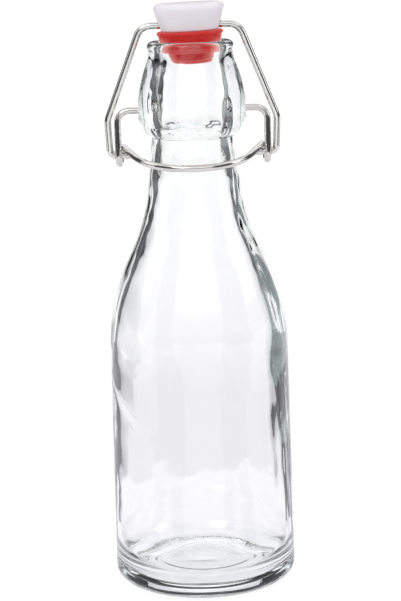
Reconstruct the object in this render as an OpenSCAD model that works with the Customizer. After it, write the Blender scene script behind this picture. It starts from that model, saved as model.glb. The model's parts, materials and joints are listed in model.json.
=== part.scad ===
// Swing top bottle: a clear glass bottle of about a quarter litre with a plug stopper on two sprung wires.
// The origin is the centre of the base, on the table. +Z is up, the bow handle is at the front, -Y,
// and the closure turns about axes along X. All sizes are in millimetres.

/* [Bottle] */
// Radius of the body just above the heel
body_low_r = 31.8; // [30:0.1:33]
// Radius of the body where the shoulder starts
body_high_r = 30.9; // [30:0.1:31.5]
// Height at which the shoulder starts
shoulder_z = 81.7; // [76:0.1:83]
// Radius of the shoulder's outward curve
shoulder_r = 72; // [70:0.5:74]
// Steepest slope of the shoulder, from the vertical, in degrees
shoulder_slope = 27.3; // [27:0.1:27.6]
// Radius of the inward curve between shoulder and neck
neck_curve_r = 67.5; // [66:0.5:69]
// Taper of the neck, from the vertical, in degrees
neck_taper = 6.1; // [5.5:0.1:6.5]
// Height of the groove between the neck and the bulge
neck_z = 155; // [152:0.5:158]
// Height of the glass above that groove
finish_h = 32.6; // [32.2:0.1:33]
// Thickness of the glass wall
wall = 3.2; // [2.5:0.1:3.6]
// Height of the push-up in the middle of the base
push_up = 3.2; // [1:0.1:4]
// Radius of the mouth's bore
bore_r = 10.35; // [10.3:0.05:10.8]

/* [Stopper] */
// Radius of the cap at its foot
cap_low_r = 9.85; // [9.5:0.05:10.5]
// Radius of the cap at its widest
cap_high_r = 11.85; // [11.2:0.05:12.2]
// Height of the cap above the wire's axis
cap_rise = 7.7; // [7:0.1:9]
// Radius of the seal's flange
flange_r = 11.2; // [11:0.05:11.4]
// Radius of the plug's wide band
plug_r = 9.7; // [9.4:0.05:9.75]
// How far the plug reaches below the wire's axis
plug_drop = 14.1; // [13.5:0.1:14.5]
// Lean of the loose stopper towards -X, in degrees
lean = 1.5; // [0:0.1:1.5]

/* [Wires] */
// Diameter of both wires
wire_d = 2.3; // [2:0.05:2.35]
// Radial play of a wire in its hole
play = 0.1; // [0.05:0.01:0.1]

/* [Lever wire] */
// Height of the side pivots above the groove under the bulge
pivot_rise = 9.6; // [9.2:0.1:10]
// Distance of each arm from the middle
arm_x = 25.4; // [25:0.1:25.6]
// Length of each arm, from the pivot to the eye
arm_len = 15.1; // [14.8:0.1:15.4]
// Radius of the eye, to the middle of the wire
eye_r = 2.7; // [2.6:0.05:2.8]
// How far the eyes sit behind the pivots when the bottle is closed
over_centre = 0.8; // [0:0.1:1]
// Radius of the front of the bow handle
bow_r = 20; // [19:0.5:21]
// Angle of the bow's sides to the line through the arms, in degrees
bow_side_angle = 70.4; // [70:0.1:71]
// Fall of the bow handle towards its front, measured from the eyes, in degrees
bow_fall = 9; // [7:0.1:11]

/* [Bail wire] */
// Height of the top bar above the mouth
bar_rise = 5.2; // [5.1:0.05:5.5]
// Half the length of the top bar, to the corner of its bend
bar_half = 16.5; // [16:0.1:17]
// Slope of each leg's upper part, from the horizontal, in degrees
leg_slope = 68.6; // [68:0.1:69]
// How far the elbows are below the top bar
elbow_drop = 31.3; // [31:0.1:32]
// Inward lean of each leg below its elbow, in degrees
foot_lean = 2.4; // [1.5:0.1:2.5]
// Distance of each hook's tip from the middle
tip_x = 22.2; // [21.8:0.1:23]

/* [Hidden] */
$fn = 96;

glass_h = neck_z + finish_h;
pivot_z = neck_z + pivot_rise;
bar_z = glass_h + bar_rise;
hole_r = wire_d / 2 + play;

// Points on a circle, from one angle to another
function arc(centre, radius, from, to, steps) =
    [for (i = [0 : steps])
        let (a = from + (to - from) * i / steps)
        centre + radius * [cos(a), sin(a)]];

// Points of a smooth step from one radius and height to the next
function swell(from, to, steps) =
    [for (i = [1 : steps])
        let (t = i / steps, s = (1 - cos(180 * t)) / 2)
        [from.x + (to.x - from.x) * s, from.y + (to.y - from.y) * t]];

// Length that a bend takes from the straight on each side of its corner
function tangent(radius, angle) = radius * tan(angle / 2);

// ---------------------------------------------------------------- bottle

// The shoulder is two circles that meet at its steepest point.
convex_c = [body_high_r - shoulder_r, shoulder_z];
concave_c = convex_c + (shoulder_r + neck_curve_r) * [cos(shoulder_slope), sin(shoulder_slope)];

// The base
bearing_in = 25;
heel_r = 4.1;
floor_t = 2.6;
corner_w = 9;
corner_h = 11;
dome_r = (bearing_in ^ 2 + push_up ^ 2) / (2 * push_up);

// The bulge that holds the pivots: a tight curve below its widest point and a long one above it,
// up to a straight collar under the lip
bulge_r = 18.5;
bulge_z = neck_z + 7.35;
bulge_low_r = 7;
bulge_high_r = 48;
groove_r = 13.9;
collar_z = glass_h - 6.5;
collar_r = 14.4;
lip_r = 1.85;
lip_out_r = 14.7;
lip_in_r = 1.6;

// Widths of the bore below the mouth
bore_waist_r = 9.4;
bore_bulge_r = 11.3;

// Side dimples
dimple_depth = 2.9;
dimple_mouth_r = 2.9;
dimple_mouth_depth = 1.7;

function outer_outline() = concat(
    arc([0, push_up - dome_r], dome_r, 90, 90 - asin(bearing_in / dome_r), 8),
    arc([body_low_r - heel_r, heel_r], heel_r, -90, 0, 8),
    arc(convex_c, shoulder_r, 0, shoulder_slope, 12),
    arc(concave_c, neck_curve_r, 180 + shoulder_slope - 1, 180 + neck_taper, 10),
    [[groove_r, neck_z]],
    arc([bulge_r - bulge_low_r, bulge_z], bulge_low_r, -67, 0, 8),
    arc([bulge_r - bulge_high_r, bulge_z], bulge_high_r, 2, asin((collar_z - bulge_z) / bulge_high_r), 8),
    [[collar_r, glass_h - 4.2]],
    arc([lip_out_r - lip_r, glass_h - lip_r], lip_r, -30, 90, 8)
);

function inner_outline() = concat(
    arc([bore_r + lip_in_r, glass_h - lip_in_r], lip_in_r, 90, 180, 6),
    [[bore_r, glass_h - 7]],
    swell([bore_r, glass_h - 7], [bore_bulge_r, bulge_z + 5], 6),
    swell([bore_bulge_r, bulge_z + 5], [bore_waist_r, neck_z], 8),
    swell([bore_waist_r, neck_z], [bore_waist_r + 1, neck_z - 9], 5),
    arc(concave_c, neck_curve_r + wall, 180 + neck_taper, 180 + shoulder_slope, 8),
    arc(convex_c, shoulder_r - wall, shoulder_slope - 1, 0, 10),
    [for (i = [0 : 10])
        let (a = -9 * i)
        [body_low_r - wall - corner_w * (1 - cos(a)), push_up + floor_t - 2.4 + corner_h * (1 + sin(a))]],
    [[0, push_up + floor_t]]
);

module dimple() {
    rotate([0, 90, 0]) {
        translate([0, 0, bulge_r - dimple_depth])
            cylinder(r = hole_r, h = dimple_depth + 1);
        translate([0, 0, bulge_r - dimple_mouth_depth])
            cylinder(r1 = hole_r, r2 = dimple_mouth_r + 1, h = dimple_mouth_depth + 1);
    }
}

module bottle() {
    color([0.85, 0.92, 0.90, 0.4])
        difference() {
            rotate_extrude()
                polygon(concat(outer_outline(), inner_outline()));
            for (side = [0, 1])
                translate([0, 0, pivot_z])
                    mirror([side, 0, 0]) dimple();
        }
}

// --------------------------------------------------------------- stopper
// Heights of the stopper are measured from the axis of the wire through it.

cap_foot = -1.8;
cap_edge_r = 1.7;
stem_r = 4.4;
stem_len = 7;
barb_r = 5.1;
barb_h = 1.6;
fit_gap = 0.05;
recess_r = 1.55;
recess_depth = 1.6;

module stopper_cap() {
    low = [cap_low_r, cap_foot];
    edge_c = [cap_high_r - cap_edge_r, cap_rise - cap_edge_r - 0.3];
    stem_end = cap_foot - stem_len;
    color([0.93, 0.91, 0.94])
        translate([0, 0, bar_z])
            difference() {
                rotate([0, -lean, 0])
                    rotate_extrude()
                        polygon(concat(
                            [[0, stem_end], [stem_r - 0.5, stem_end], [stem_r, stem_end + 0.5]],
                            [[stem_r, stem_end + 1], [barb_r, stem_end + 1.6], [stem_r, stem_end + 1 + barb_h]],
                            [[stem_r, cap_foot], low - [0.3, 0], low + [0, 0.3]],
                            arc(edge_c, cap_edge_r, -12, 82, 8),
                            [[0, cap_rise]]
                        ));
                translate([-cap_high_r - 1, 0, 0])
                    rotate([0, 90, 0])
                        cylinder(r = hole_r, h = 2 * cap_high_r + 2);
                for (side = [0, 1])
                    mirror([side, 0, 0])
                        translate([cap_low_r - recess_depth, 0, 0])
                            rotate([0, 90, 0])
                                cylinder(r = recess_r, h = recess_depth + 3);
            }
}

module seal() {
    top = cap_foot - fit_gap;
    pocket_end = cap_foot - stem_len - 0.3;
    band_top = -6.9;
    band_end = -8.8;
    tip_r = 6.6;
    color([0.80, 0.20, 0.18])
        translate([0, 0, bar_z])
            rotate([0, -lean, 0])
                rotate_extrude()
                    polygon(concat(
                        [[0, pocket_end], [0, -plug_drop]],
                        arc([tip_r - 1.4, -plug_drop + 1.4], 1.4, -90, -12, 5),
                        [[8, band_end - 0.5], [plug_r - 0.3, band_end - 0.3], [plug_r, band_end]],
                        [[plug_r, band_top], [10.5, -4.8]],
                        arc([flange_r - 0.75, -2.6], 0.75, -60, 80, 6),
                        [[stem_r + fit_gap, top], [stem_r + fit_gap, pocket_end + 1.9 + barb_h]],
                        [[barb_r + fit_gap, pocket_end + 1.9], [stem_r + fit_gap, pocket_end + 1.3]],
                        [[stem_r + fit_gap, pocket_end]]
                    ));
}

// ----------------------------------------------------------------- wires
// A wire is drawn from one end. It runs along +Z and bends towards +X, and its children carry on from there.
// Each length starts in a round knuckle a hair wider than the wire, and ends just short of the next one.

knuckle = 0.02;
shy = 0.1;

module knuckle() {
    sphere(d = wire_d + 2 * knuckle);
}

module run(length) {
    knuckle();
    cylinder(d = wire_d, h = length - shy);
    translate([0, 0, length]) children();
}

module bend(radius, angle) {
    knuckle();
    translate([radius, 0, 0]) {
        rotate([90, 0, 180])
            rotate_extrude(angle = angle - asin(shy / radius))
                translate([radius, 0]) circle(d = wire_d);
        rotate([0, angle, 0])
            translate([-radius, 0, 0]) children();
    }
}

// Lever wire: a stub in the dimple, an arm down to a coiled eye, and half of the bow handle
arm_bend = 4;
eye_twist = 6;
stub_x = bulge_r - dimple_depth + 0.3 + knuckle + wire_d / 2;
arm_reach = [eye_r * cos(eye_twist), arm_len];
arm_lean = atan2(arm_reach.x, arm_reach.y) - asin(over_centre / norm(arm_reach));
bow_tilt = bow_fall + arm_lean;
bow_heading = atan2(sin(bow_side_angle) * cos(bow_tilt), cos(bow_side_angle));
eye_exit = 90 + asin(sin(bow_side_angle) * sin(bow_tilt));
bow_start_x = arm_x - 2 * eye_r * sin(eye_twist) - eye_r * (1 - cos(eye_exit)) * cos(bow_heading);
bow_side = (bow_start_x - bow_r * sin(bow_side_angle)) / cos(bow_side_angle);
bow_roll = atan2(-sin(bow_heading), cos(eye_exit) * cos(bow_heading));

module lever_side() {
    translate([stub_x, 0, 0])
        rotate([0, 90, 0])
            run(arm_x - arm_bend - stub_x) bend(arm_bend, 90)
            run(arm_len - arm_bend) rotate([0, 0, 90 - eye_twist]) bend(eye_r, 180)
            rotate([0, 0, bow_heading - eye_twist - 90]) bend(eye_r, eye_exit)
            run(bow_side) children();
}

module lever_wire() {
    color([0.74, 0.74, 0.72])
        translate([0, 0, pivot_z])
            rotate([-arm_lean, 0, 0]) {
                lever_side()
                    rotate([0, 0, bow_roll]) bend(bow_r, 2 * bow_side_angle);
                mirror([1, 0, 0])
                    lever_side() knuckle();
            }
}

// Bail wire: half of the top bar, a leg with an elbow, and a hook into the lever's eye
bar_bend = 5;
elbow_bend = 7;
hook_bend = 2.1;
eye_drop = bar_z - pivot_z + sqrt(arm_reach * arm_reach - over_centre ^ 2);
bail_lean = atan2(over_centre, eye_drop);
foot_drop = norm([eye_drop, over_centre]) - elbow_drop;
elbow_turn = 90 + foot_lean - leg_slope;
hook_turn = 90 - foot_lean;
foot_x = bar_half + elbow_drop / tan(leg_slope) - foot_drop * tan(foot_lean);
bar_run = bar_half - tangent(bar_bend, leg_slope);
upper_run = elbow_drop / sin(leg_slope) - tangent(bar_bend, leg_slope) - tangent(elbow_bend, elbow_turn);
lower_run = foot_drop / cos(foot_lean) - tangent(elbow_bend, elbow_turn) - tangent(hook_bend, hook_turn);
hook_run = foot_x - tip_x - tangent(hook_bend, hook_turn);

module bail_wire() {
    color([0.80, 0.80, 0.78])
        translate([0, 0, bar_z])
            rotate([bail_lean, 0, 0]) {
                rotate([0, 90, 0])
                    cylinder(d = wire_d, h = 2 * (bar_run - shy), center = true);
                for (side = [0, 1])
                    mirror([side, 0, 0])
                        rotate([0, 90, 0])
                            translate([0, 0, bar_run])
                                bend(bar_bend, leg_slope)
                                run(upper_run) bend(elbow_bend, elbow_turn)
                                run(lower_run) bend(hook_bend, hook_turn)
                                run(hook_run) knuckle();
            }
}

bottle();
stopper_cap();
seal();
bail_wire();
lever_wire();
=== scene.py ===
"""Swing top bottle: clear glass, a milky stopper on a red seal, and two sprung steel wires."""

import json
from math import asin, atan2, ceil, cos, degrees, exp, hypot, pi, radians, sin, sqrt, tan

import bmesh
import bpy
from mathutils import Matrix, Vector, noise


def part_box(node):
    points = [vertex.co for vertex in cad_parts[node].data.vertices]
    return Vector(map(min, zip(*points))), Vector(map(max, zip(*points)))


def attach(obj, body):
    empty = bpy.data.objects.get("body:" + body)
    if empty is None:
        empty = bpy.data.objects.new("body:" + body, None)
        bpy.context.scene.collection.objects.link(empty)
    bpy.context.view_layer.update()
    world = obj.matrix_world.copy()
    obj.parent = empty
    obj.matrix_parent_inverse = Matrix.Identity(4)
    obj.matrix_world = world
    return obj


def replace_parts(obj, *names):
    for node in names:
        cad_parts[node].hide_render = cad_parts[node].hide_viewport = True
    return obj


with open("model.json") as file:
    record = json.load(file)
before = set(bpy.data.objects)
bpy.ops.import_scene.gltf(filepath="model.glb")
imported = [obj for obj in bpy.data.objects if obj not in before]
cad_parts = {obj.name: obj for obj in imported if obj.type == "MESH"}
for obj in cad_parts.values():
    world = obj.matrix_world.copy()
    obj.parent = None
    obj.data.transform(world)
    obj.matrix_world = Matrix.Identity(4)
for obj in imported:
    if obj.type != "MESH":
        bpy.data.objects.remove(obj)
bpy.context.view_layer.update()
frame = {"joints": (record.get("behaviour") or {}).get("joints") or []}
MM = 0.001

# ------------------------------------------------------------------ places, in mm, from the frame
JOINTS = {j["name"]: [c * 1000 for c in j["pos_m"]] for j in frame["joints"]}
_, HIGH = ([c * 1000 for c in p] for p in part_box("bottle"))
GLASS_H = HIGH[2]
BODY_R = HIGH[0]
PIVOT_Z = JOINTS["lever_pivot"][2]
BAR_Z = JOINTS["stopper_pivot"][2]
FINISH_H = 32.6
NECK_Z = GLASS_H - FINISH_H
WIRE_R = 1.15


def link(o):
    bpy.context.scene.collection.objects.link(o)
    return o


def smooth(t):
    t = min(max(t, 0.0), 1.0)
    return t * t * (3 - 2 * t)


def mix(a, b, t):
    return a + (b - a) * t


def wave(x, y, z):
    return noise.noise(Vector((x, y, z)))


# ------------------------------------------------------------------ outlines, as lists of (r, z)
def arc(cx, cz, r, a0, a1, step=0.35):
    n = max(2, ceil(abs(radians(a1 - a0)) * abs(r) / step), ceil(abs(a1 - a0) / 9))
    angles = [radians(mix(a0, a1, i / n)) for i in range(n + 1)]
    return [(cx + r * cos(a), cz + r * sin(a)) for a in angles]


def line(a, b, step=0.6):
    n = max(1, ceil(hypot(b[0] - a[0], b[1] - a[1]) / step))
    return [(mix(a[0], b[0], i / n), mix(a[1], b[1], i / n)) for i in range(n + 1)]


def swell(a, b, step=0.6):
    """A soft S from a to b, upright at both ends."""
    n = max(4, ceil(abs(b[1] - a[1]) / step))
    return [(mix(a[0], b[0], (1 - cos(pi * i / n)) / 2), mix(a[1], b[1], i / n)) for i in range(n + 1)]


def joined(*parts):
    """One outline from several, without the doubled points."""
    out = []
    for part in parts:
        for p in part:
            if not out or hypot(p[0] - out[-1][0], p[1] - out[-1][1]) > 0.02:
                out.append(p)
    return out


def resampled(points, pitch):
    """The same line with its points pitch(r, z) apart, so that each area gets the mesh it needs."""
    out, rest = [points[0]], 0.0
    for a, b in zip(points, points[1:]):
        d = hypot(b[0] - a[0], b[1] - a[1])
        at = 0.0
        while d - at > 1e-9:
            need = pitch(mix(a[0], b[0], at / d), mix(a[1], b[1], at / d)) - rest
            if need > d - at:
                rest += d - at
                break
            at += need
            out.append((mix(a[0], b[0], at / d), mix(a[1], b[1], at / d)))
            rest = 0.0
    if rest > 1e-6:
        out[-1] = points[-1]
    return out


# ------------------------------------------------------------------ turned pieces
def lathe(name, outline, angles, shape, mat, lean=None):
    """A turned piece. outline is a list of (r, z, kind), and shape(kind, angle, r, z) gives each point."""
    bm = bmesh.new()
    rows = []
    for r, z, kind in outline:
        if r < 1e-6:
            rows.append([bm.verts.new(shape(kind, 0.0, 0.0, z))])
        else:
            rows.append([bm.verts.new(shape(kind, a, r, z)) for a in angles])
    n = len(angles)
    for low, up in zip(rows, rows[1:]):
        for i in range(n):
            j = (i + 1) % n
            if len(low) == 1 and len(up) == 1:
                continue
            if len(low) == 1:
                f = bm.faces.new((low[0], up[j], up[i]))
            elif len(up) == 1:
                f = bm.faces.new((low[i], low[j], up[0]))
            else:
                f = bm.faces.new((low[i], low[j], up[j], up[i]))
            f.smooth = True
    if lean is not None:
        bmesh.ops.transform(bm, matrix=lean, verts=bm.verts)
    bmesh.ops.recalc_face_normals(bm, faces=bm.faces)
    bmesh.ops.scale(bm, vec=(MM, MM, MM), verts=bm.verts)
    return as_object(name, bm, mat)


def as_object(name, bm, mat):
    me = bpy.data.meshes.new(name)
    bm.to_mesh(me)
    bm.free()
    me.materials.append(mat)
    return link(bpy.data.objects.new(name, me))


def all_round(coarse, fine, half):
    """Angles round the axis: fine(a) apart within half degrees of each side, and coarse elsewhere."""
    side = []
    a = 0.0
    while a < 90 - 1e-6:
        side.append(a)
        a += fine(a) if a < half else coarse
    quarter = [s * 90 / a for s in side] + [90.0]
    out = set()
    for q in quarter:
        for b in (q, 180 - q, 180 + q, 360 - q):
            out.add(round(b % 360, 5))
    return [radians(b) for b in sorted(out)]


def pit(x, y, z, at_z, stops):
    """Moves a point on the side of a turned piece into a round pit about the X axis.

    stops are (distance from the pit's axis, x of the surface there), from the middle to the rim.
    """
    side = 1 if x > 0 else -1
    s = hypot(y, z - at_z)
    if s >= stops[-1][0] or x == 0:
        return x
    for (s0, x0), (s1, x1) in zip(stops, stops[1:]):
        if s <= s1:
            t = (s - s0) / (s1 - s0)
            steep = x1 - x0 > 0.7 * (s1 - s0) and s1 - s0 < 0.9
            depth = mix(x0, x1, smooth(t) if steep else t)
            break
    rim = smooth((stops[-1][0] - s) / 0.35)
    return side * min(abs(x), mix(abs(x), depth, rim))


# ------------------------------------------------------------------ materials
class Nodes:
    """Short ways to add nodes to one tree. Each value is a number, a colour or another node's socket."""

    def __init__(self, tree):
        self.tree = tree

    def set(self, socket, value):
        if isinstance(value, bpy.types.NodeSocket):
            self.tree.links.new(value, socket)
        else:
            socket.default_value = value

    def __call__(self, kind, at=None, **settings):
        n = self.tree.nodes.new(kind)
        for k, v in settings.items():
            setattr(n, k, v)
        for k, v in (at or {}).items():
            self.set(n.inputs[k], v)
        return n

    def maths(self, operation, a, b=0.0):
        return self("ShaderNodeMath", operation=operation, at={0: a, 1: b}).outputs[0]

    def plus(self, a, b):
        return self.maths("ADD", a, b)

    def times(self, a, *others):
        for b in others:
            a = self.maths("MULTIPLY", a, b)
        return a

    def above(self, value, limit):
        return self.maths("GREATER_THAN", value, limit)

    def below(self, value, limit):
        return self.maths("LESS_THAN", value, limit)

    def span(self, value, a, b, c, d):
        return self("ShaderNodeMapRange", at={0: value, 1: a, 2: b, 3: c, 4: d}).outputs[0]

    def ramp(self, value, *stops):
        n = self("ShaderNodeValToRGB", at={0: value})
        e = n.color_ramp.elements
        while len(e) < len(stops):
            e.new(0.5)
        for el, (pos, c) in zip(e, stops):
            el.position = pos
            el.color = (*c, 1)
        return n.outputs["Color"]

    def noise(self, where, scale, detail=3.0, rough=0.5):
        at = {"Vector": where, "Scale": scale, "Detail": detail, "Roughness": rough}
        return self("ShaderNodeTexNoise", at=at).outputs["Fac"]

    def blend(self, factor, a, b):
        n = self("ShaderNodeMix", data_type="RGBA")
        for k, v in (("Factor_Float", factor), ("A_Color", a), ("B_Color", b)):
            self.set(next(i for i in n.inputs if i.identifier == k), v)
        return next(o for o in n.outputs if o.identifier == "Result_Color")

    def bump(self, height, strength, distance, normal=None):
        at = {"Height": height, "Strength": strength, "Distance": distance}
        if normal is not None:
            at["Normal"] = normal
        return self("ShaderNodeBump", at=at).outputs["Normal"]

    def axes(self, where):
        return self("ShaderNodeSeparateXYZ", at={0: where}).outputs

    def length(self, where):
        return self("ShaderNodeVectorMath", operation="LENGTH", at={0: where}).outputs["Value"]

    def stretched(self, where, sx, sy, sz):
        return self("ShaderNodeMapping", at={"Vector": where, "Scale": (sx, sy, sz)}).outputs[0]


def bare_material(name):
    m = bpy.data.materials.new(name)
    m.use_nodes = True
    m.node_tree.nodes.clear()
    n = Nodes(m.node_tree)
    return m, n, n("ShaderNodeOutputMaterial"), n("ShaderNodeTexCoord").outputs


def material(name):
    m, n, out, where = bare_material(name)
    p = n("ShaderNodeBsdfPrincipled")
    n.set(out.inputs["Surface"], p.outputs[0])
    return m, n, p.inputs, out, where


def wire_up(n, p, **links):
    for k, v in links.items():
        n.set(p[k.replace("_", " ")], v)


def glass():
    m, n, p, out, where = material("clear_glass")
    x, y, z = n.axes(where["Object"])
    radius = n.length(n("ShaderNodeCombineXYZ", at={0: x, 1: y}).outputs[0])
    # the mould's chill: long soft ripples, and a fine orange peel
    ripple = n.noise(n.stretched(where["Object"], 1, 1, 0.35), 90.0, 2.0)
    peel = n.noise(where["Object"], 700.0, 3.0, 0.6)
    normal = n.bump(peel, 0.10, 0.00006, n.bump(ripple, 0.25, 0.0002))
    # knurled bearing ring: short radial bars that keep the base off a wet table
    bars = n.maths("SINE", n.times(n.maths("ARCTAN2", y, x), 104.0))
    ring = n.times(n.span(radius, 0.0243, 0.0252, 0.0, 1.0), n.span(radius, 0.0295, 0.0285, 0.0, 1.0))
    low = n.span(z, 0.0014, 0.0006, 0.0, 1.0)
    normal = n.bump(n.times(n.maths("ABSOLUTE", bars), ring, low), 0.5, 0.0002, normal)
    # sand-blasted middle of the push-up
    under = n.times(n.span(radius, 0.0165, 0.0150, 0.0, 1.0), n.span(z, 0.0052, 0.0045, 0.0, 1.0))
    normal = n.bump(n.times(n.noise(where["Object"], 1500.0, 1.0), under), 0.3, 0.0001, normal)
    rough = n.plus(n.times(n.noise(where["Object"], 45.0, 4.0, 0.6), 0.02), n.times(under, 0.08))
    wire_up(n, p, Roughness=rough, Normal=normal, IOR=1.52, Transmission_Weight=1.0)
    wire_up(n, p, Base_Color=(0.995, 0.994, 0.997, 1))
    body = n("ShaderNodeVolumeAbsorption", at={"Color": (0.80, 0.92, 0.90, 1), "Density": 9.0})
    n.set(out.inputs["Volume"], body.outputs[0])
    return m


def steel(name, tone):
    """Drawn wire: a bright skin with drawing lines along it and faint blotches."""
    m, n, p, out, where = material(name)
    drawn = n.noise(n.stretched(where["UV"], 55.0, 9.0, 1.0), 3.0, 4.0, 0.65)
    blotch = n.noise(where["Object"], 160.0, 3.0)
    scratch = n.noise(n.stretched(where["UV"], 8.0, 160.0, 1.0), 2.0, 2.0)
    dark, light = [c * 0.86 for c in tone], [min(1.0, c * 1.08) for c in tone]
    colour = n.ramp(n.plus(n.times(drawn, 0.55), n.times(blotch, 0.45)), (0.3, dark), (0.7, light))
    rough = n.plus(n.span(scratch, 0.3, 0.75, 0.04, 0.09), n.span(blotch, 0.4, 0.7, 0.0, 0.03))
    normal = n.bump(scratch, 0.2, 0.00002, n.bump(drawn, 0.25, 0.00005))
    wire_up(n, p, Base_Color=colour, Roughness=rough, Normal=normal, Metallic=1.0)
    return m


def milky():
    m, n, p, out, where = material("milky_plastic")
    cloud = n.noise(where["Object"], 120.0, 4.0, 0.6)
    flow = n.noise(n.stretched(where["Object"], 1, 1, 3.0), 60.0, 2.0)
    murk = n.plus(n.times(cloud, 0.5), n.times(flow, 0.5))
    colour = n.ramp(murk, (0.25, (0.665, 0.635, 0.68)), (0.75, (0.745, 0.72, 0.765)))
    grain = n.noise(where["Object"], 2600.0, 2.0)
    rough = n.span(n.noise(where["Object"], 300.0, 3.0), 0.3, 0.7, 0.30, 0.42)
    normal = n.bump(grain, 0.12, 0.00004, n.bump(flow, 0.15, 0.0002))
    wire_up(n, p, Base_Color=colour, Roughness=rough, Normal=normal, IOR=1.49)
    wire_up(n, p, Subsurface_Weight=0.55, Subsurface_Radius=(1.0, 0.85, 0.9), Subsurface_Scale=0.0022)
    return m


def silicone():
    m, n, p, out, where = material("red_silicone")
    face = n("ShaderNodeLayerWeight", at={"Blend": 0.45}).outputs["Facing"]
    mottle = n.noise(where["Object"], 220.0, 3.0)
    core = n.ramp(mottle, (0.3, (0.48, 0.004, 0.004)), (0.7, (0.58, 0.012, 0.010)))
    # painted shade: the flange is painted a deeper red than the plug; painted sheen: the plug's edges are
    # pale
    bar = BAR_Z * MM
    plug = n.span(n.axes(where["Object"])[2], bar - 0.0035, bar - 0.0065, 0.0, 1.0)
    core = n.blend(plug, n.blend(0.42, core, (0.12, 0.005, 0.005, 1)), core)
    # painted sheen: paler towards grazing angles, strongest on the plug
    painted_edge_sheen = n.maths(
        "MAXIMUM",
        n.times(n.span(face, 0.22, 0.58, 0.0, 0.95), plug),
        n.span(face, 0.5, 0.95, 0.0, 0.25),
    )
    colour = n.blend(painted_edge_sheen, core, (0.98, 0.42, 0.37, 1))
    dust = n.noise(where["Object"], 900.0, 3.0, 0.7)
    rough = n.span(dust, 0.35, 0.7, 0.26, 0.42)
    wire_up(n, p, Base_Color=colour, Roughness=rough, Normal=n.bump(dust, 0.12, 0.00006), IOR=1.42)
    wire_up(n, p, Subsurface_Weight=0.6, Subsurface_Radius=(1.0, 0.25, 0.2), Subsurface_Scale=0.003)
    # painted glow: a faint red emission over the whole seal, for the light that soaks through the soft plug
    wire_up(n, p, Emission_Color=(1.0, 0.04, 0.03, 1), Emission_Strength=0.17)
    return m


# ------------------------------------------------------------------ the glass
SHOULDER_R, SHOULDER_Z, SLOPE, NECK_R, TAPER = 72.0, 81.7, 27.3, 67.5, 6.1
HIGH_R, HEEL_R, BEARING_IN = BODY_R - 0.9, 4.1, 25.0
WALL, PUSH, FLOOR = 3.2, 3.2, 2.6
CORNER_W, CORNER_H = 9, 11
THROAT_R, WAIST_R, SWELL_R = 13.9, 10.15, 11.0
BULGE_R, BULGE_Z, BULGE_LOW_R, BULGE_HIGH_R = 18.5, NECK_Z + 7.35, 7, 48
COLLAR_R, COLLAR_Z, COLLAR_TOP_R = 14.47, GLASS_H - 6.5, 14.25
BORE_R, LIP_R, LIP_OUT, LIP_IN = 10.35, 1.85, 14.7, 1.6
CREASE_Z = NECK_Z + 5.0
# centres of the shoulder's two arcs
OUT_C = (HIGH_R - SHOULDER_R, SHOULDER_Z)
IN_C = (
    OUT_C[0] + (SHOULDER_R + NECK_R) * cos(radians(SLOPE)),
    OUT_C[1] + (SHOULDER_R + NECK_R) * sin(radians(SLOPE)),
)


def outer_outline():
    dome = (BEARING_IN**2 + PUSH**2) / (2 * PUSH)
    bulge_top = degrees(asin((COLLAR_Z - BULGE_Z) / BULGE_HIGH_R))
    return joined(
        arc(0, PUSH - dome, dome, 90, 90 - degrees(asin(BEARING_IN / dome))),
        arc(BODY_R - HEEL_R, HEEL_R, HEEL_R, -90, 0),
        arc(*OUT_C, SHOULDER_R, 0, SLOPE),
        arc(*IN_C, NECK_R, 180 + SLOPE, 180 + TAPER),
        [(THROAT_R, NECK_Z + 0.45)],
        arc(BULGE_R - BULGE_LOW_R, BULGE_Z, BULGE_LOW_R, -67, 0),
        arc(BULGE_R - BULGE_HIGH_R, BULGE_Z, BULGE_HIGH_R, 0.3, bulge_top),
        [(COLLAR_R, COLLAR_Z + 0.9), (14.35, GLASS_H - 4.6), (14.3, GLASS_H - 3.7)],
        [(COLLAR_TOP_R, GLASS_H - 3.15)],
        arc(LIP_OUT - LIP_R, GLASS_H - LIP_R, LIP_R, -38, 90),
    )


def inner_outline():
    """From the lip down to the middle of the floor."""
    inner_r = NECK_R + WALL
    neck_foot = (IN_C[0] - inner_r * cos(radians(TAPER)), IN_C[1] - inner_r * sin(radians(TAPER)))
    corner_r, floor_z = BODY_R - WALL - CORNER_W, PUSH + 0.2
    turns = [radians(3 * i) for i in range(31)]
    return joined(
        arc(BORE_R + LIP_IN, GLASS_H - LIP_IN, LIP_IN, 90, 180),
        line((BORE_R, GLASS_H - LIP_IN), (BORE_R, GLASS_H - 7)),
        swell((BORE_R, GLASS_H - 7), (SWELL_R, BULGE_Z + 5)),
        swell((SWELL_R, BULGE_Z + 5), (WAIST_R, NECK_Z - 1)),
        swell((WAIST_R, NECK_Z - 1), neck_foot),
        arc(*IN_C, inner_r, 180 + TAPER, 180 + SLOPE),
        arc(*OUT_C, SHOULDER_R - WALL, SLOPE - 1, 0),
        [(corner_r + CORNER_W * cos(t), floor_z + CORNER_H * (1 - sin(t))) for t in turns],
        line((corner_r, floor_z), (0, PUSH + FLOOR)),
    )


def pitch_out(r, z):
    if abs(z - PIVOT_Z) < 4.2 and r > 14:
        return 0.24
    if z > GLASS_H - 5 or abs(z - NECK_Z) < 1.5:
        return 0.3
    if z > NECK_Z - 3:
        return 0.6
    if z < 5:
        return 0.55 if r > 15 else 1.0
    return 1.35


def pitch_in(r, z):
    if z > GLASS_H - 2.5:
        return 0.35
    if z > NECK_Z - 14:
        return 0.7
    return 0.8 if z < 16 else 1.3


# the dimple for the lever's stub
GLASS_PIT = [(0.0, 15.5), (1.4, 15.6), (1.65, 16.95), (2.9, 18.35), (3.3, 18.9)]


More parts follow.
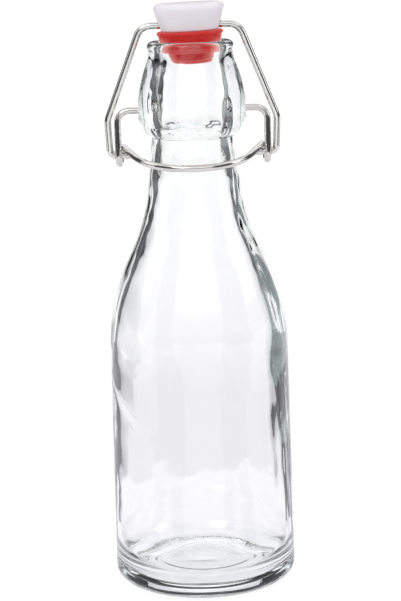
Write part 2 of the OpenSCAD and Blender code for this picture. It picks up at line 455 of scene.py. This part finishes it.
def inner_wall(a, r, z):
    """A point of the inner wall, which blowing leaves uneven. d is how far it moves outwards."""
    x, y = r * cos(a), r * sin(a)
    if r <= 0.5:
        return (x, y, z)
    # slow swings of the wall, and quicker ripples above the shoulder
    up = smooth((z - 95) / 40)
    slow = wave(cos(a) * 1.4 + 3.1, sin(a) * 1.4 + 8.3, z * 0.022)
    mid = wave(cos(a) * 2.6 - 5.2, sin(a) * 2.6 + 1.7, z * 0.075 + 4.0)
    quick = wave(cos(a) * 4.0 + 9.4, sin(a) * 4.0 - 2.6, z * 0.3 + 11.0)
    amount = smooth((z - 9) / 12) * (1 - smooth((z - (GLASS_H - 7)) / 4))
    flank = 0.15 + 0.85 * abs(cos(a))
    swings = mix(0.75 * flank, 0.4, up) * slow + mix(0.22 * flank, 0.24, up) * mid
    d = amount * (swings + mix(0.04, 0.11, up) * quick)
    # a thick place low on the left of the shoulder, with a sudden foot
    left, right = max(0.0, -cos(a)) ** 2, max(0.0, cos(a)) ** 6
    foot = 71 + 22 * sin(a)
    d -= 0.5 * left * smooth((z - foot) / 5) * smooth((122 - z) / 26)
    # a thicker wall at both sides of the shoulder
    d -= 0.55 * cos(a) ** 2 * smooth((z - 40) / 24) * smooth((128 - z) / 24)
    # narrow upright ripples low on the right
    d += 0.09 * right * sin(31 * a + 0.05 * z) * smooth((78 - z) / 14) * smooth((z - 14) / 8)
    # a ragged crease round the inside of the bulge
    crease = (z - CREASE_Z - 0.6 * wave(cos(a) * 3, sin(a) * 3, 3.3)) / 0.55
    d -= (0.7 + 0.4 * wave(cos(a) * 6, sin(a) * 6, 9.1)) * exp(-crease * crease)
    # the settle wave: the wall thickens in a ragged line on the lower body
    edge = 37 + 5 * wave(cos(a) * 1.3, sin(a) * 1.3, 2.2)
    edge += 2.2 * wave(cos(a) * 4.1, sin(a) * 4.1, 7.7)
    d -= 0.22 * smooth((edge - z) / 6) * smooth((z - 12) / 8)
    if z < 12 and r < 24:
        z += 0.3 * wave(x * 0.07, y * 0.07, 5.0)
    # a lump of glass left in the far corner of the floor
    if z < 14:
        near = exp(-(((a - 1.05) / 0.24) ** 2) - ((r - 24.2) / 1.5) ** 2)
        z += (0.9 + 0.8 * wave(x * 0.5, y * 0.5, 1.5)) * near
    return (x * (r + d) / r, y * (r + d) / r, z)


def outer_skin(a, r, z):
    x, y = r * cos(a), r * sin(a)
    if z > 5:
        d = 0.05 * wave(cos(a) * 1.7 + 2.0, sin(a) * 1.7, z * 0.05) - 0.05
        # mould seams down both sides
        seam = abs(degrees(atan2(sin(2 * a), cos(2 * a)))) / 2
        if z < GLASS_H - 4:
            d += 0.05 * smooth((0.75 - seam) / 0.6)
        x, y = x * (r + d) / r, y * (r + d) / r
    elif r < BEARING_IN - 0.5:
        # two pressed steps round the push-up
        z += 0.42 * (smooth((18.2 - r) / 0.9) - smooth((17.0 - r) / 1.6))
        z += 0.3 * (smooth((20.9 - r) / 0.7) - smooth((20.1 - r) / 0.9))
    if abs(z - PIVOT_Z) < 3.4 and abs(y) < 3.4:
        x = pit(x, y, z, PIVOT_Z, GLASS_PIT)
    return (x, y, z)


def glass_point(kind, a, r, z):
    return inner_wall(a, r, z) if kind == "in" else outer_skin(a, r, z)


bottle_outline = [(*p, "out") for p in resampled(outer_outline(), pitch_out)]
bottle_outline += [(*p, "in") for p in resampled(inner_outline(), pitch_in)]
columns = all_round(2.5, lambda a: 0.3 if a < 0.85 else 0.6, 11)
bottle = lathe("glass_bottle", bottle_outline, columns, glass_point, glass())
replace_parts(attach(bottle, "bottle"), "bottle")

# ------------------------------------------------------------------ the stopper, from its bar's axis
LEAN = Matrix.Translation((0, 0, BAR_Z)) @ Matrix.Rotation(radians(-1.5), 4, "Y")
CAP_LOW, CAP_HIGH, CAP_RISE, CAP_FOOT, CAP_EDGE = 9.85, 11.85, 7.7, -1.8, 1.7
STEM_R, STEM_L, BARB_R = 4.4, 7, 5.1
SEAL_TIP = -14.1


def cap_outline():
    outline = joined(
        [(0, CAP_FOOT - STEM_L), (STEM_R - 0.5, CAP_FOOT - STEM_L), (STEM_R, CAP_FOOT - STEM_L + 0.5)],
        [(STEM_R, CAP_FOOT - 6), (BARB_R, CAP_FOOT - 5.4), (STEM_R, CAP_FOOT - 4.4)],
        [(STEM_R, CAP_FOOT), (CAP_LOW - 0.6, CAP_FOOT)],
        arc(CAP_LOW - 0.45, CAP_FOOT + 0.4, 0.4, -90, 0, 0.1),
        arc(CAP_HIGH - CAP_EDGE, CAP_RISE - CAP_EDGE - 0.3, CAP_EDGE, -12, 82, 0.2),
        [(0, CAP_RISE)],
    )
    return [(*p, "cap") for p in resampled(outline, lambda r, z: 0.28 if r > 7 else 0.6)]


# the end of the cross bore
CAP_PIT = [(0.0, 5.5), (1.35, 5.5), (1.5, 8.1), (1.6, 8.3), (1.8, 10.3)]


def cap_point(kind, a, r, z):
    x, y = r * cos(a), r * sin(a)
    if z > CAP_RISE - 1.0:
        # a sunk gate mark in the middle of the top, and the slight sink of thick plastic round it
        z -= 0.22 * smooth((2.4 - r) / 0.5) - 0.30 * smooth((0.8 - r) / 0.3)
        z -= 0.18 * smooth((8.5 - r) / 5)
    if r > 6 and z > CAP_FOOT + 0.4:
        # mould seams at the front and back
        d = 0.03 * smooth((0.012 - abs(cos(a))) / 0.01)
        x, y = x * (r + d) / r, y * (r + d) / r
    if r > 8 and abs(z) < 2.2 and abs(y) < 2.2:
        x = pit(x, y, z, 0.0, CAP_PIT)
    return (x, y, z)


cap = lathe("stopper_head", cap_outline(), all_round(3.0, lambda a: 1.0, 14), cap_point, milky(), LEAN)
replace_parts(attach(cap, "stopper"), "stopper_cap")


def seal_outline():
    """The pocket round the stem, then the flange, the wide band and the plug, from the inside out."""
    top, end = CAP_FOOT - 0.05, CAP_FOOT - STEM_L - 0.3
    pocket_r, barb_r = STEM_R + 0.05, BARB_R + 0.05
    outline = joined(
        [(0, end), (pocket_r, end), (pocket_r, end + 1.3), (barb_r, end + 1.9)],
        [(pocket_r, end + 3.5), (pocket_r, top)],
        arc(10.45, -2.6, 0.75, 82, -58, 0.12),
        line((10.5, -4.6), (9.85, -6.6), 0.3),
        arc(9.4, -6.95, 0.3, 35, 0, 0.05),
        line((9.7, -7.0), (9.7, -8.5), 0.3),
        arc(9.45, -8.6, 0.25, 0, -75, 0.06),
        arc(8.25, -9.25, 0.25, 100, 172, 0.06),
        line((8.0, -9.3), (6.75, -12.5), 0.3),
        arc(5.3, SEAL_TIP + 1.3, 1.3, 14, -90, 0.15),
        [(0, SEAL_TIP)],
    )
    return [(*p, "seal") for p in resampled(outline, lambda r, z: 0.26 if r > 5.2 else 0.6)]


def seal_point(kind, a, r, z):
    x, y = r * cos(a), r * sin(a)
    if r > 9:
        # soft rubber is never quite round or flat
        d = 0.05 * wave(cos(a) * 2, sin(a) * 2, z * 0.3)
        z += 0.06 * wave(cos(a) * 2.2 + 4, sin(a) * 2.2, 3.0)
        x, y = x * (r + d) / r, y * (r + d) / r
    if z < SEAL_TIP + 0.2:
        # a shallow dish under the tip
        z += 0.25 * smooth((3.0 - r) / 0.4) * smooth(r / 0.3 + 0.5)
    return (x, y, z)


seal_columns = all_round(3.0, lambda a: 3.0, 0)
seal = lathe("stopper_seal", seal_outline(), seal_columns, seal_point, silicone(), LEAN)
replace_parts(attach(seal, "stopper"), "seal")

# ------------------------------------------------------------------ the wires
ARM_X, ARM_LEN, ARM_BEND, TWIST = 25.4, 15.1, 4.0, 6.0
EYE_R, OVER = 2.7, 0.8
BOW_R, SIDE_ANGLE, FALL = 20.0, 70.4, 9.0
STUB_X = BULGE_R - 2.58
BAR_HALF, LEG_SLOPE, ELBOW_DROP, FOOT_LEAN, TIP_X = 16.5, 68.6, 31.3, 2.4, 22.2
BAR_BEND, ELBOW_BEND, HOOK_BEND = 5.0, 7.0, 2.1


def rot(axis, angle):
    return Matrix.Rotation(radians(angle), 4, axis)


def move(x, y, z):
    return Matrix.Translation((x, y, z))


class Turtle:
    """Runs along its own +Z and bends towards its +X, like a wire bender, leaving the points it passes."""

    def __init__(self, start):
        self.m = start
        self.points = [start.translation.copy()]

    def step(self, m):
        self.m = self.m @ m
        self.points.append(self.m.translation.copy())

    def run(self, length):
        n = max(1, ceil(length / 1.4))
        for _ in range(n):
            self.step(move(0, 0, length / n))
        return self

    def bend(self, radius, angle):
        n = max(3, ceil(angle / (7 if radius < 10 else 3)))
        for _ in range(n):
            self.step(move(radius, 0, 0) @ rot("Y", angle / n) @ move(-radius, 0, 0))
        return self

    def roll(self, angle):
        self.m = self.m @ rot("Z", angle)
        return self


def mirrored(points):
    """The same points on the other side, in the opposite order."""
    return [Vector((-p.x, p.y, p.z)) for p in reversed(points)]


def wire(name, points, mat, sides=20):
    """A round wire along the points, with its cut ends slightly rounded."""
    pts = [points[0]]
    for p in points[1:]:
        if (p - pts[-1]).length > 0.05:
            pts.append(p)
    last = len(pts) - 1
    tangents = [(pts[min(i + 1, last)] - pts[max(i - 1, 0)]).normalized() for i in range(last + 1)]
    # rings as (centre, direction, share of the radius), with three to round each end
    rounding, deep = [(0.0, 0.62), (0.10, 0.86), (0.28, 1.0)], 0.28
    stations = [(pts[0] + tangents[0] * (into - deep), tangents[0], share) for into, share in rounding]
    stations += [(p, t, 1.0) for p, t in zip(pts[1:-1], tangents[1:-1])]
    stations += [
        (pts[-1] - tangents[-1] * (into - deep), tangents[-1], share) for into, share in reversed(rounding)
    ]
    up = Vector((0, 1, 0)) if abs(tangents[0].y) < 0.9 else Vector((0, 0, 1))
    u = (up - tangents[0] * up.dot(tangents[0])).normalized()
    bm = bmesh.new()
    uv = bm.loops.layers.uv.new("UVMap")
    rings, lengths = [], [0.0]
    for i, (c, t, share) in enumerate(stations):
        u = (u - t * u.dot(t)).normalized()
        v = t.cross(u)
        if i:
            lengths.append(lengths[-1] + (c - stations[i - 1][0]).length)
        r = WIRE_R * share
        if share == 1.0:
            r *= 1 + 0.006 * wave(c.x * 0.4, c.y * 0.4, c.z * 0.4)
        turns = [2 * pi * k / sides for k in range(sides)]
        rings.append([bm.verts.new((c + u * (r * cos(q)) + v * (r * sin(q))) * MM) for q in turns])
    for i in range(len(rings) - 1):
        for k in range(sides):
            j = (k + 1) % sides
            f = bm.faces.new((rings[i][k], rings[i][j], rings[i + 1][j], rings[i + 1][k]))
            f.smooth = True
            for loop, (a, b) in zip(f.loops, ((i, k), (i, k + 1), (i + 1, k + 1), (i + 1, k))):
                loop[uv].uv = (lengths[a] * 0.01, b / sides)
    bm.faces.new(list(reversed(rings[0])))
    bm.faces.new(rings[-1])
    bmesh.ops.recalc_face_normals(bm, faces=bm.faces)
    return as_object(name, bm, mat)


# the lever: stub, arm, eye and side on the right, then the bow, then the same on the left
reach = (EYE_R * cos(radians(TWIST)), ARM_LEN)
ARM_LEAN = degrees(atan2(*reach) - asin(OVER / hypot(*reach)))
tilt = radians(FALL + ARM_LEAN)
s_side, c_side = sin(radians(SIDE_ANGLE)), cos(radians(SIDE_ANGLE))
heading = atan2(s_side * cos(tilt), c_side)
leaving = pi / 2 + asin(s_side * sin(tilt))
side_x = ARM_X - 2 * EYE_R * sin(radians(TWIST)) - EYE_R * (1 - cos(leaving)) * cos(heading)
side_run = (side_x - BOW_R * s_side) / c_side
bow_roll = atan2(-sin(heading), cos(leaving) * cos(heading))

half = Turtle(move(0, 0, PIVOT_Z) @ rot("X", -ARM_LEAN) @ move(STUB_X, 0, 0) @ rot("Y", 90))
half.run(ARM_X - ARM_BEND - STUB_X).bend(ARM_BEND, 90).run(ARM_LEN - ARM_BEND)
half.roll(90 - TWIST).bend(EYE_R, 180)
half.roll(degrees(heading) - TWIST - 90).bend(EYE_R, degrees(leaving)).run(side_run)
bow = Turtle(half.m).roll(degrees(bow_roll)).bend(BOW_R, 2 * SIDE_ANGLE)
lever_points = half.points + bow.points[1:] + mirrored(half.points)[1:]
lever = wire("lever_loop", lever_points, steel("lever_steel", (0.73, 0.72, 0.70)))
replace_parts(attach(lever, "lever"), "lever_wire")


def taken(radius, angle):
    """What a bend takes off each of the two straight runs that meet in it."""
    return radius * tan(radians(angle / 2))


# the bail: half the top bar, leg, foot and hook, mirrored
eye_drop = BAR_Z - PIVOT_Z + sqrt(reach[0] ** 2 + reach[1] ** 2 - OVER**2)
bail_lean = degrees(atan2(OVER, eye_drop))
foot_drop = hypot(eye_drop, OVER) - ELBOW_DROP
elbow_turn, hook_turn = 90 + FOOT_LEAN - LEG_SLOPE, 90 - FOOT_LEAN
foot_x = BAR_HALF + ELBOW_DROP / tan(radians(LEG_SLOPE)) - foot_drop * tan(radians(FOOT_LEAN))
bar_run = BAR_HALF - taken(BAR_BEND, LEG_SLOPE)
upper = ELBOW_DROP / sin(radians(LEG_SLOPE)) - taken(BAR_BEND, LEG_SLOPE) - taken(ELBOW_BEND, elbow_turn)
lower = foot_drop / cos(radians(FOOT_LEAN)) - taken(ELBOW_BEND, elbow_turn) - taken(HOOK_BEND, hook_turn)
hook = foot_x - TIP_X - taken(HOOK_BEND, hook_turn)

leg = Turtle(move(0, 0, BAR_Z) @ rot("X", bail_lean) @ rot("Y", 90))
leg.run(bar_run).bend(BAR_BEND, LEG_SLOPE).run(upper).bend(ELBOW_BEND, elbow_turn)
leg.run(lower).bend(HOOK_BEND, hook_turn).run(hook + WIRE_R)
bail_points = mirrored(leg.points)[:-1] + leg.points
bail = wire("bail_loop", bail_points, steel("bail_steel", (0.76, 0.755, 0.74)))
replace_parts(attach(bail, "bail"), "bail_wire")

# ------------------------------------------------------------------ studio, in metres
# painted shade for the glass: floor tones that only rays through the glass see
DISC_TONE, LOW_TONE = (0.83, 0.835, 0.86), (0.965, 0.95, 0.99)
PAINTED_GREY_TONE, HIGH_TONE, FAR_TONE = (0.82, 0.805, 0.845), (0.99, 0.98, 1.0), (1.07, 1.07, 1.07)
FLAG_AWAY, FLAG_H = 0.36, 0.45
KEY_PLACE, FILL_PLACE, LIT_SPOT = (-0.35, -0.6, 0.75), (0.75, -0.15, 0.45), (0, 0, 0.12)
CAMERA_PLACE, CAMERA_DOWN, CAMERA_ROLL = (0.0009, -0.5836, 0.224), 12.17, -1.75

scene = bpy.context.scene
scene.view_settings.view_transform = "Standard"
scene.view_settings.look = "None"


def light_path(n):
    """How often a ray has been reflected, and how often it has passed through a surface."""
    path = n("ShaderNodeLightPath").outputs
    return path["Glossy Depth"], path["Transmission Depth"]


def outer_bounce(n):
    """One for a ray reflected before it has gone into any glass."""
    turned, through = light_path(n)
    return n.times(n.above(turned, 0.5), n.below(through, 0.5))


def inner_bounce(n):
    """One for a ray that the walls of the glass have turned aside, and nought for a plain look through it."""
    turned, through = light_path(n)
    short = n.maths("MAXIMUM", n.below(through, 2.5), n.above(turned, 1.5))
    return n.times(n.above(through, 1.5), n.above(turned, 0.5), short)


def studio_world():
    """White all round, with a dark horizon in first reflections, for the steel and the rims."""
    world = bpy.data.worlds.new("studio")
    world.use_nodes = True
    world.node_tree.nodes.clear()
    n = Nodes(world.node_tree)
    rise = n.span(n.axes(n("ShaderNodeTexCoord").outputs["Generated"])[2], -1.0, 1.0, 0.0, 1.0)
    mirror = n.ramp(
        rise,
        (0.50, (0.05, 0.05, 0.055)),
        (0.60, (0.10, 0.10, 0.105)),
        (0.64, (0.85, 0.85, 0.86)),
        (0.80, (1.3, 1.3, 1.3)),
        (1.0, (0.7, 0.7, 0.7)),
    )
    sky = n("ShaderNodeBackground", at={"Color": n.blend(outer_bounce(n), (1, 1, 1, 1), mirror)})
    n.set(n("ShaderNodeOutputWorld").inputs["Surface"], sky.outputs[0])
    return world


def plane(name, corners, mat):
    me = bpy.data.meshes.new(name)
    me.from_pydata(corners, [], [tuple(range(len(corners)))])
    me.materials.append(mat)
    o = link(bpy.data.objects.new(name, me))
    return o


def painted_dark_patches(n, x, y, ground):
    """One on the floor towards the four corners, where only rays turned aside in the glass find it: painted
    shade that shows as dark bands in the glass.
    """
    turn = n.times(n.maths("ARCTAN2", n.maths("ABSOLUTE", x), n.maths("ABSOLUTE", y)), 180 / pi)
    off = n.maths("ABSOLUTE", n.maths("SUBTRACT", turn, 45.0))
    gap = n.maths("SUBTRACT", n.maths("DIVIDE", 1.2, ground), 5.5)
    around = n.times(n.above(n.maths("SUBTRACT", off, gap), 0.0), n.below(off, 20.0))
    return n.times(around, n.above(ground, 0.085), n.below(ground, 0.37), inner_bounce(n))


def floor_material():
    """Plain white to the camera. Through the glass its tone changes with the distance from the bottle,
    painting shade into the glass in grey rings.
    """
    m, n, out, where = bare_material("studio_floor")
    x, y, _ = n.axes(where["Object"])
    ground = n.length(where["Object"])
    ragged = n.plus(ground, n.span(n.noise(where["Object"], 60.0, 2.0), 0.2, 0.8, -0.018, 0.018))
    tone = n.ramp(
        n.times(ragged, 1.25),
        (0.0, DISC_TONE),
        (0.022, DISC_TONE),
        (0.045, LOW_TONE),
        (0.142, LOW_TONE),
        (0.150, PAINTED_GREY_TONE),
        (0.32, PAINTED_GREY_TONE),
        (0.50, HIGH_TONE),
        (1.0, FAR_TONE),
    )
    seen = n.blend(n("ShaderNodeLightPath").outputs["Is Camera Ray"], tone, (1, 1, 1, 1))
    patch = painted_dark_patches(n, x, y, ground)
    # painted shade: on the +X side, from 0.26 m out, the patches are a greenish grey; in every patch the
    # floor's diffuse colour darkens too
    green = n.times(n.above(x, 0.0), n.span(ground, 0.26, 0.30, 0.0, 1.0))
    shade = n.blend(patch, seen, n.blend(green, (0.06, 0.06, 0.065, 1), (0.27, 0.31, 0.305, 1)))
    bare = n.blend(patch, (0.15, 0.15, 0.15, 1), (0.02, 0.02, 0.02, 1))
    both = n("ShaderNodeAddShader", at={
        0: n("ShaderNodeBsdfDiffuse", at={"Color": bare}).outputs[0],
        1: n("ShaderNodeEmission", at={"Color": shade, "Strength": 0.88}).outputs[0],
    })
    n.set(out.inputs["Surface"], both.outputs[0])
    return m


def flag_material(name, low, high):
    """A dark card that rays turned aside in the glass find, and high up the wires' reflections too: painted
    shade in the glass and painted dark reflections.
    """
    m, n, out, where = bare_material(name)
    rise = n.axes(where["Object"])[2]
    found = n.maths("MAXIMUM", inner_bounce(n), n.times(outer_bounce(n), n.above(rise, 0.066)))
    tone = n.ramp(n.times(rise, 4.0), (0.36, low), (0.56, high))
    both = n("ShaderNodeMixShader", at={
        0: found,
        1: n("ShaderNodeBsdfTransparent").outputs[0],
        2: n("ShaderNodeEmission", at={"Color": tone, "Strength": 1.0}).outputs[0],
    })
    n.set(out.inputs["Surface"], both.outputs[0])
    return m


def flag(name, a0, a1, mat):
    """An upright card between two bearings, in degrees from +Y towards +X."""
    ends = [Vector((sin(radians(a)), cos(radians(a)), 0)) * FLAG_AWAY for a in (a0, a1)]
    up = Vector((0, 0, FLAG_H))
    o = plane(name, [ends[0], ends[1], ends[1] + up, ends[0] + up], mat)
    o.visible_camera = o.visible_diffuse = o.visible_shadow = False


def softbox(name, place, size, watts):
    data = bpy.data.lights.new(name, "AREA")
    data.shape, data.size, data.energy = "SQUARE", size, watts
    o = link(bpy.data.objects.new(name, data))
    o.location = place
    o.rotation_euler = (Vector(LIT_SPOT) - Vector(place)).to_track_quat("-Z", "Y").to_euler()


scene.world = studio_world()
plane("floor", [(-9, -9, 0), (9, -9, 0), (9, 9, 0), (-9, 9, 0)], floor_material())
# painted shade and painted reflections: dark and greenish grey cards, hidden from the camera, diffuse light
# and shadows
dark = flag_material("studio_flag_dark", (0.13, 0.13, 0.135), (0.08, 0.08, 0.085))
soft = flag_material("studio_flag_soft", (0.25, 0.29, 0.285), (0.10, 0.10, 0.105))
for k, (a0, a1, mat) in enumerate(((34, 73, soft), (107, 146, dark), (214, 253, soft), (287, 326, dark))):
    flag(f"flag_{k}", a0, a1, mat)
softbox("key", KEY_PLACE, 0.45, 1.6)
softbox("fill", FILL_PLACE, 0.35, 0.6)

camera_data = bpy.data.cameras.new("camera")
camera_data.lens, camera_data.sensor_width = 103.09, 36.0
camera_data.clip_start, camera_data.clip_end = 0.05, 60
camera = link(bpy.data.objects.new("camera", camera_data))
camera.matrix_world = move(*CAMERA_PLACE) @ rot("X", 90 - CAMERA_DOWN) @ rot("Z", CAMERA_ROLL)
scene.camera = camera
